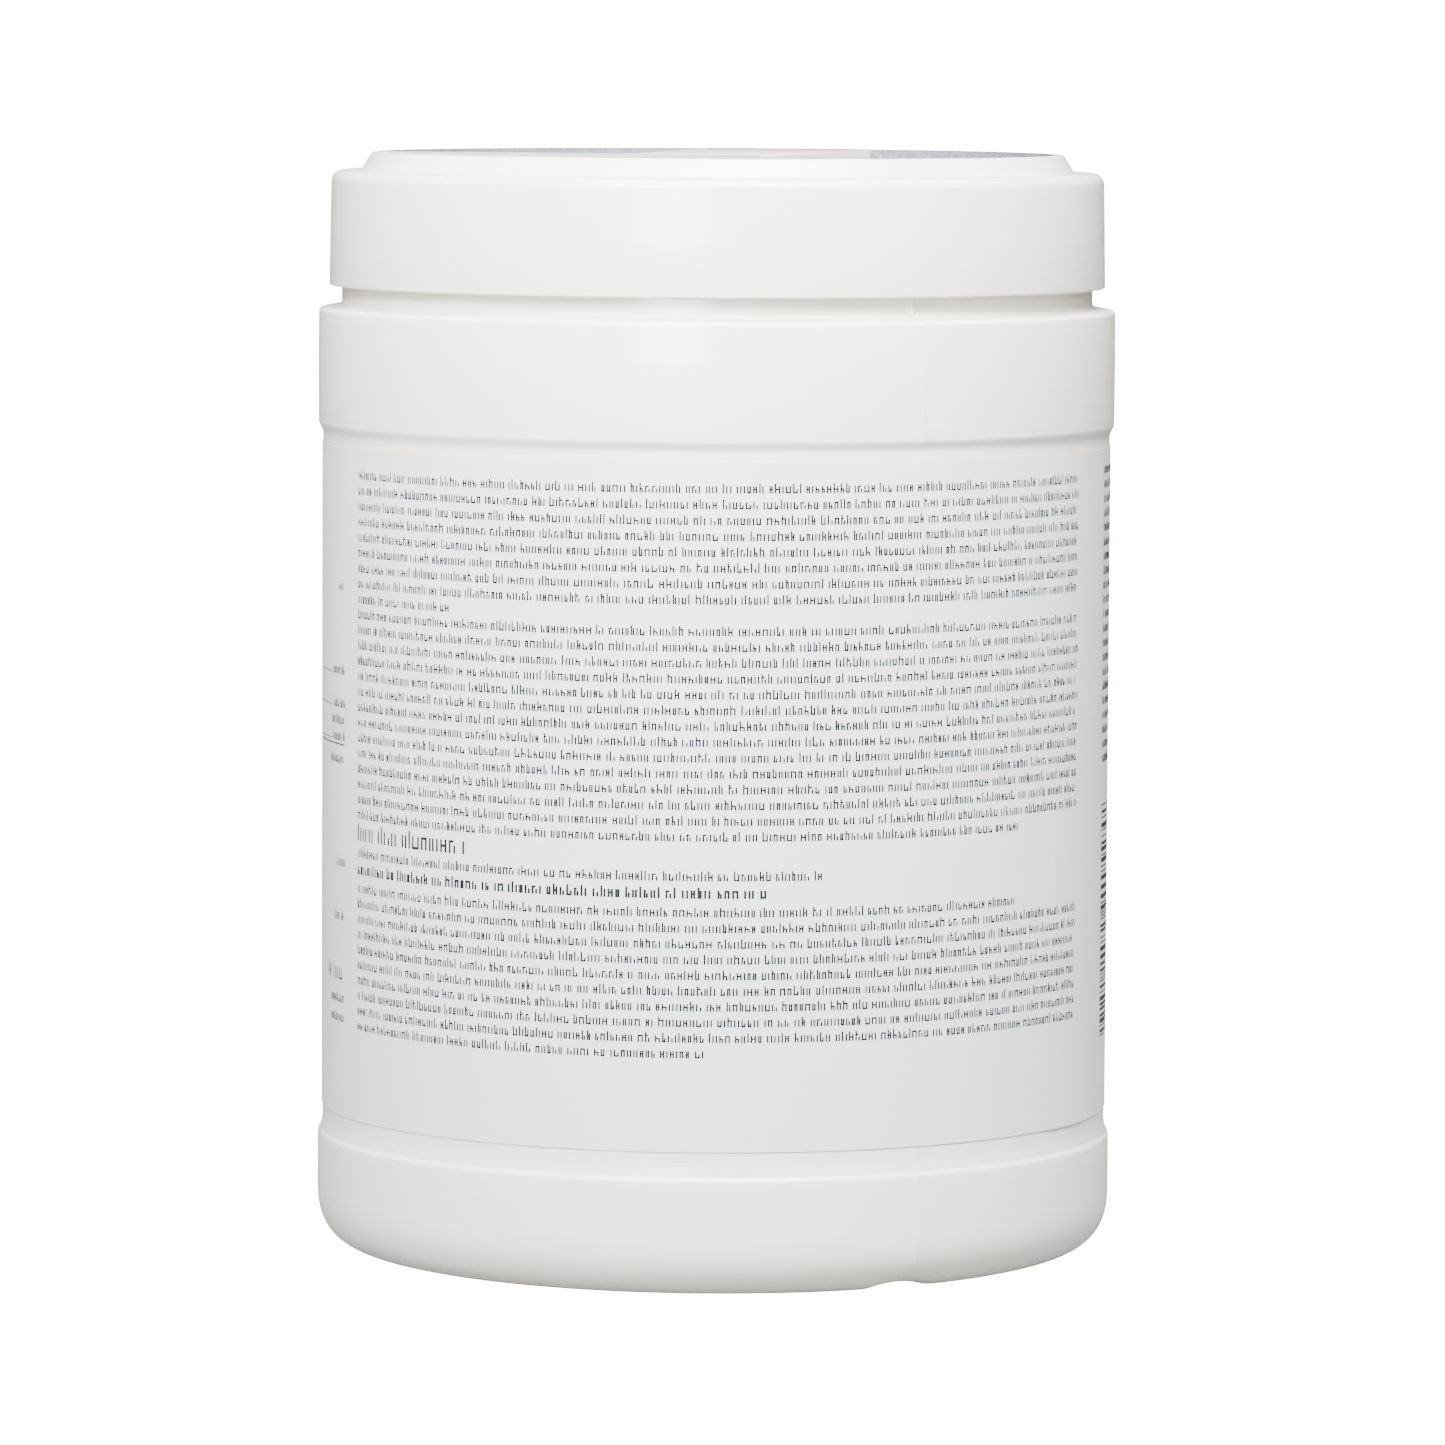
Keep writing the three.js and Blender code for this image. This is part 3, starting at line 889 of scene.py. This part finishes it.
def right_recess():
    near, far = side_angle(RIM_IN, 1, False), side_angle(RIM_IN, 1, True)
    return rim_arc(RIM_IN, near, far, 60)


def left_recess():
    far = side_angle(RIM_IN, -1, True)
    near = math.pi - math.asin(LEFT_EDGE / RIM_IN)
    outline = rim_arc(RIM_IN, far, near, 44)
    return outline + [(-strap_half(LEFT_EDGE), LEFT_EDGE)]


def strap_outline(start, end_r, margin=0.0):
    """The strap from a straight near edge to a far edge that follows the rim."""
    half_end = strap_half(end_r) + margin
    spread = math.asin(half_end / end_r)
    far = rim_arc(end_r, math.pi / 2 - spread, math.pi / 2 + spread, 12)
    half_start = strap_half(start) + margin
    return [(-half_start, start), (half_start, start)] + far


# %% [markdown]
# The mould's inserts are taken out of the lid as cutters: the bed of the strap, the two recesses beside it, a
# shallow dish, the dispensing hole and its four slits. Booleans are the plain way to do what a mould insert
# does, but a poor cutter can leave the mesh open, so the lid's edges are counted after the cuts. The walls
# and floors of the two recesses get a matt dark cool grey as painted shade, which shows over the rim as a
# thin crescent on each side.

# %% Lid cutters
WELL_R = 15.0 * MM
WELL_DEPTH = 0.6 * MM
HOLE_R = 5.2 * MM
SLIT_REACH = 12.2 * MM
SLIT_W = 1.1 * MM
OVER = LID_HIGH + 1 * MM
FOOT_ROUND = 0.5 * MM


def cutter(bm, name):
    bmesh.ops.recalc_face_normals(bm, faces=bm.faces)
    mesh = bpy.data.meshes.new(name)
    bm.to_mesh(mesh)
    bm.free()
    obj = bpy.data.objects.new(name, mesh)
    bpy.context.scene.collection.objects.link(obj)
    return obj


def carve(piece, cutters):
    """Takes each cutter out of the piece, applies it and removes the cutter."""
    bpy.context.view_layer.objects.active = piece
    for tool in cutters:
        step = piece.modifiers.new("carve", "BOOLEAN")
        step.operation = "DIFFERENCE"
        step.solver = "EXACT"
        step.object = tool
        bpy.context.view_layer.update()
        made = bpy.data.meshes.new_from_object(piece.evaluated_get(bpy.context.evaluated_depsgraph_get()))
        piece.modifiers.clear()
        old = piece.data
        piece.data = made
        bpy.data.meshes.remove(old)
        bpy.data.objects.remove(tool)


def lid_cutters():
    tools = [
        cutter(slab(strap_outline(HINGE_AT, FOOT_R + 2 * MM, CAP_GAP), RECESS_FLOOR, OVER), "bed"),
        cutter(slab(right_recess(), RECESS_FLOOR, OVER, 2.2 * MM, FOOT_ROUND), "recess_right"),
        cutter(slab(left_recess(), RECESS_FLOOR, OVER, 1.2 * MM, FOOT_ROUND), "recess_left"),
    ]
    below = FLOOR_UNDER - 1 * MM
    seat = RECESS_FLOOR - WELL_DEPTH
    above = RECESS_FLOOR + 0.5 * MM
    dish = [(0, seat), (WELL_R - 4 * MM, seat)]
    dish += ease((WELL_R - 3 * MM, seat), (WELL_R, RECESS_FLOOR + 0.01 * MM), 4)[1:]
    tools.append(cutter(spun(dish + [(WELL_R, above), (0, above)], 64), "dish"))
    hole = [(0, below), (HOLE_R, below), (HOLE_R, RECESS_FLOOR), (0, RECESS_FLOOR)]
    tools.append(cutter(spun(hole, 48), "hole"))
    for i in range(4):
        turn = STRAP_TURN + math.radians(90 * i + 45)
        outline = [(0, -SLIT_W / 2), (SLIT_REACH, -SLIT_W / 2), (SLIT_REACH, SLIT_W / 2), (0, SLIT_W / 2)]
        tools.append(cutter(slab(outline, below, RECESS_FLOOR, turn=turn), "slit"))
    return tools


def paint_recess_shade(lid):
    """Paints shade on the floors and walls of the two recesses in a matt dark cool grey."""
    lid.data.materials.append(recess_painted_shade)
    back = Matrix.Rotation(-STRAP_TURN, 3, "Z")
    for face in lid.data.polygons:
        place = back @ face.center
        beside = abs(place.x) > strap_half(place.y) + CAP_GAP + 0.05 * MM
        within = math.hypot(place.x, place.y) < RIM_IN + 0.05 * MM
        # Faces on the walls and floors of the recesses take the painted shade.
        if beside and within and RECESS_FLOOR - 0.05 * MM < face.center.z < LID_HIGH - 0.1 * MM:
            face.material_index = 1


def loose_edges(piece):
    """Edges that don't join exactly two faces. A clean cut leaves none."""
    bm = bmesh.new()
    bm.from_mesh(piece.data)
    count = sum(1 for edge in bm.edges if len(edge.link_faces) != 2)
    bm.free()
    return count


def make_lid():
    lid = finish_piece(spun(lid_profile()), "lid", lid_plastic, "lid", ["screw_lid"])
    carve(lid, lid_cutters())
    count = loose_edges(lid)
    if count:
        raise RuntimeError("a cut left %d loose edges in the lid" % count)
    paint_recess_shade(lid)
    lid.data.set_sharp_from_angle(angle=CREASE)
    return lid


report(make_lid())
thread("lid_thread", LID_R - LID_WALL, -0.75 * MM, LID_LOW + 3.2 * MM, lid_plastic, "lid")

# %% [markdown]
# The cap is a hollow strap that snaps down over the hole. Its block is raised, its top edges are bevelled,
# and its lower face is inset and pushed up to leave side walls. A ring under it plugs the hole, and a thin
# web of the same plastic is the hinge; it rides on no body. A plain red field at the far end shows as a faint
# tint on the strap.

# %% Flip cap
CAP_LOW = RECESS_FLOOR + CAP_GAP
CAP_WALL = 1.2 * MM
CAP_TOP = 1.4 * MM
CAP_END = 59.3 * MM
CAP_EDGE = 0.35 * MM
PLUG_R = 4.2 * MM
PLUG_WALL = 1.1 * MM
WEB_LONG = 2.6 * MM
WEB_THICK = 0.22 * MM


def make_cap():
    bm = slab(strap_outline(HINGE_AT + CAP_GAP, CAP_END), CAP_LOW, LID_HIGH, turn=0.0)
    upper = [e for e in bm.edges if min(v.co.z for v in e.verts) > LID_HIGH - WELD]
    round_off(bm, upper, CAP_EDGE, 3)
    under = [f for f in bm.faces if f.normal.z < -0.9]
    bmesh.ops.inset_region(bm, faces=under, thickness=CAP_WALL, use_even_offset=True)
    made = bmesh.ops.extrude_face_region(bm, geom=under)
    bmesh.ops.delete(bm, geom=under, context="FACES")
    raised = [g for g in made["geom"] if isinstance(g, bmesh.types.BMVert)]
    bmesh.ops.translate(bm, verts=raised, vec=(0, 0, LID_HIGH - CAP_TOP - CAP_LOW))
    bmesh.ops.rotate(bm, verts=bm.verts, cent=(0, 0, 0), matrix=Matrix.Rotation(STRAP_TURN, 3, "Z"))
    return finish_piece(bm, "cap", lid_plastic, "cap", ["flip_cap"])


def make_plug():
    top = LID_HIGH - CAP_TOP + 0.2 * MM
    foot = RECESS_FLOOR - WELL_DEPTH
    inner = PLUG_R - PLUG_WALL
    wall = [(PLUG_R, top), (inner, top), (inner, foot + 0.3 * MM), (PLUG_R - 0.8 * MM, foot)]
    bm = spun(wall + [(PLUG_R - 0.3 * MM, foot), (PLUG_R, foot + 0.4 * MM)], 64)
    return finish_piece(bm, "cap_plug", lid_plastic, "cap")


def make_hinge_web():
    bm = bmesh.new()
    bmesh.ops.create_cube(bm, size=1.0)
    lengthwise = [e for e in bm.edges if abs(e.verts[0].co.y - e.verts[1].co.y) > 0.5]
    bmesh.ops.subdivide_edges(bm, edges=lengthwise, cuts=11)
    middle = HINGE_AT + CAP_GAP / 2
    wide = 2 * HALF_NEAR - 2.4 * MM
    for vert in bm.verts:
        z = LID_HIGH - WEB_THICK / 2 + vert.co.z * WEB_THICK
        vert.co = Vector((vert.co.x * wide, vert.co.y * WEB_LONG + middle, z))
    spin = Matrix.Rotation(STRAP_TURN, 3, "Z")
    bmesh.ops.rotate(bm, verts=bm.verts, cent=(0, 0, 0), matrix=spin)
    piece = finish_piece(bm, "hinge_web", lid_plastic, None)
    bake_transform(piece)
    return piece


def make_cap_print():
    """A plain red field printed across the far end of the cap."""
    near_s, far_s, side = 44 * MM, 53 * MM, 1.6 * MM
    outline = [
        (-strap_half(near_s) + side, near_s),
        (strap_half(near_s) - side, near_s),
        (strap_half(far_s) - side, far_s),
        (-strap_half(far_s) + side, far_s),
    ]
    bm = slab(outline, LID_HIGH - 0.01 * MM, LID_HIGH + 0.004 * MM, 1.5 * MM)
    return finish_piece(bm, "cap_red_field", red_ink, "cap", smooth=False)


for piece in (make_cap(), make_plug(), make_hinge_web(), make_cap_print()):
    report(piece)

# %% [markdown]
# The roll keeps its own solid, because only its form counts inside the jar, and it gets the cloth's finish.

# %% Roll
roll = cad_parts["wipes_roll"]
roll.data.materials.clear()
roll.data.materials.append(wipe_cloth)

# %% [markdown]
# A large soft source from the front left and one from above do most of the lighting. A low one in front and a
# weak one from the right fill the shade, and two narrow strips draw thin highlights. Each large source has a
# narrow spread and aims at a height on the jar, so the light falls off from the lid to the heel and to the
# right. The camera sees the floor and the surround as pure white, but they light the jar only a little.

# %% Floor and light
SEEN_WHITE = 20.0
SURROUND = 0.08
FLOOR_GLOW = 0.3


def seen_or_cast(tree, seen, cast):
    """Light Path tells what the camera sees from what lights the jar, so white may outshine its own glow."""
    path = tree.nodes.new("ShaderNodeLightPath")
    blend = tree.nodes.new("ShaderNodeMapRange")
    blend.inputs["To Min"].default_value = cast
    blend.inputs["To Max"].default_value = seen
    tree.links.new(path.outputs["Is Camera Ray"], blend.inputs["Value"])
    return blend.outputs["Result"]


def plain_white():
    look, tree, shader = new_look("floor_white")
    dust = noise(tree, 3, 2)
    colour = ramp(tree, dust.outputs["Fac"], [(0.3, (0.09, 0.09, 0.09)), (0.7, (0.1, 0.1, 0.1))])
    tree.links.new(colour.outputs["Color"], shader.inputs["Base Color"])
    shader.inputs["Roughness"].default_value = 0.9
    shader.inputs["Emission Color"].default_value = (1, 1, 1, 1)
    tree.links.new(seen_or_cast(tree, SEEN_WHITE, FLOOR_GLOW), shader.inputs["Emission Strength"])
    return look


def make_floor():
    bm = bmesh.new()
    bmesh.ops.create_circle(bm, cap_ends=True, segments=64, radius=6.0)
    mesh = bpy.data.meshes.new("floor")
    bm.to_mesh(mesh)
    bm.free()
    mesh.materials.append(plain_white())
    floor = bpy.data.objects.new("floor", mesh)
    bpy.context.scene.collection.objects.link(floor)


def soft_box(name, at, size, watts, aim=0.095, spread=180, colour=(1, 1, 1)):
    data = bpy.data.lights.new(name, "AREA")
    data.shape = "RECTANGLE"
    data.size, data.size_y = size
    data.energy = watts
    data.color = colour
    data.spread = math.radians(spread)
    light = bpy.data.objects.new(name, data)
    bpy.context.scene.collection.objects.link(light)
    towards = Vector((0, 0, aim)) - Vector(at)
    light.matrix_world = Matrix.Translation(at) @ towards.to_track_quat("-Z", "Y").to_matrix().to_4x4()


make_floor()
warm, cool = (1.0, 0.99, 0.98), (0.96, 0.975, 1.0)
soft_box("key_left", (-0.36, -0.76, 0.86), (0.6, 0.5), 5.8, aim=0.4, spread=50, colour=warm)
soft_box("fill_right", (1.0, -0.9, 0.75), (0.5, 0.7), 0.25, aim=0.25, spread=60, colour=cool)
soft_box("front", (-0.35, -1.5, 0.3), (0.6, 0.3), 1.1, aim=0.29, spread=32)
soft_box("strip_left", (-0.45, -0.7, 0.81), (0.3, 0.02), 4)
soft_box("strip_right", (0.87, -0.17, 0.67), (0.25, 0.02), 2)
soft_box("top", (0.1, -0.4, 0.82), (0.7, 0.4), 8.6, aim=0.32, spread=64)

world = bpy.data.worlds.new("white_surround")
world.use_nodes = True
backdrop = world.node_tree.nodes["Background"]
backdrop.inputs["Color"].default_value = (1, 1, 1, 1)
world.node_tree.links.new(seen_or_cast(world.node_tree, SEEN_WHITE, SURROUND), backdrop.inputs["Strength"])
bpy.context.scene.world = world
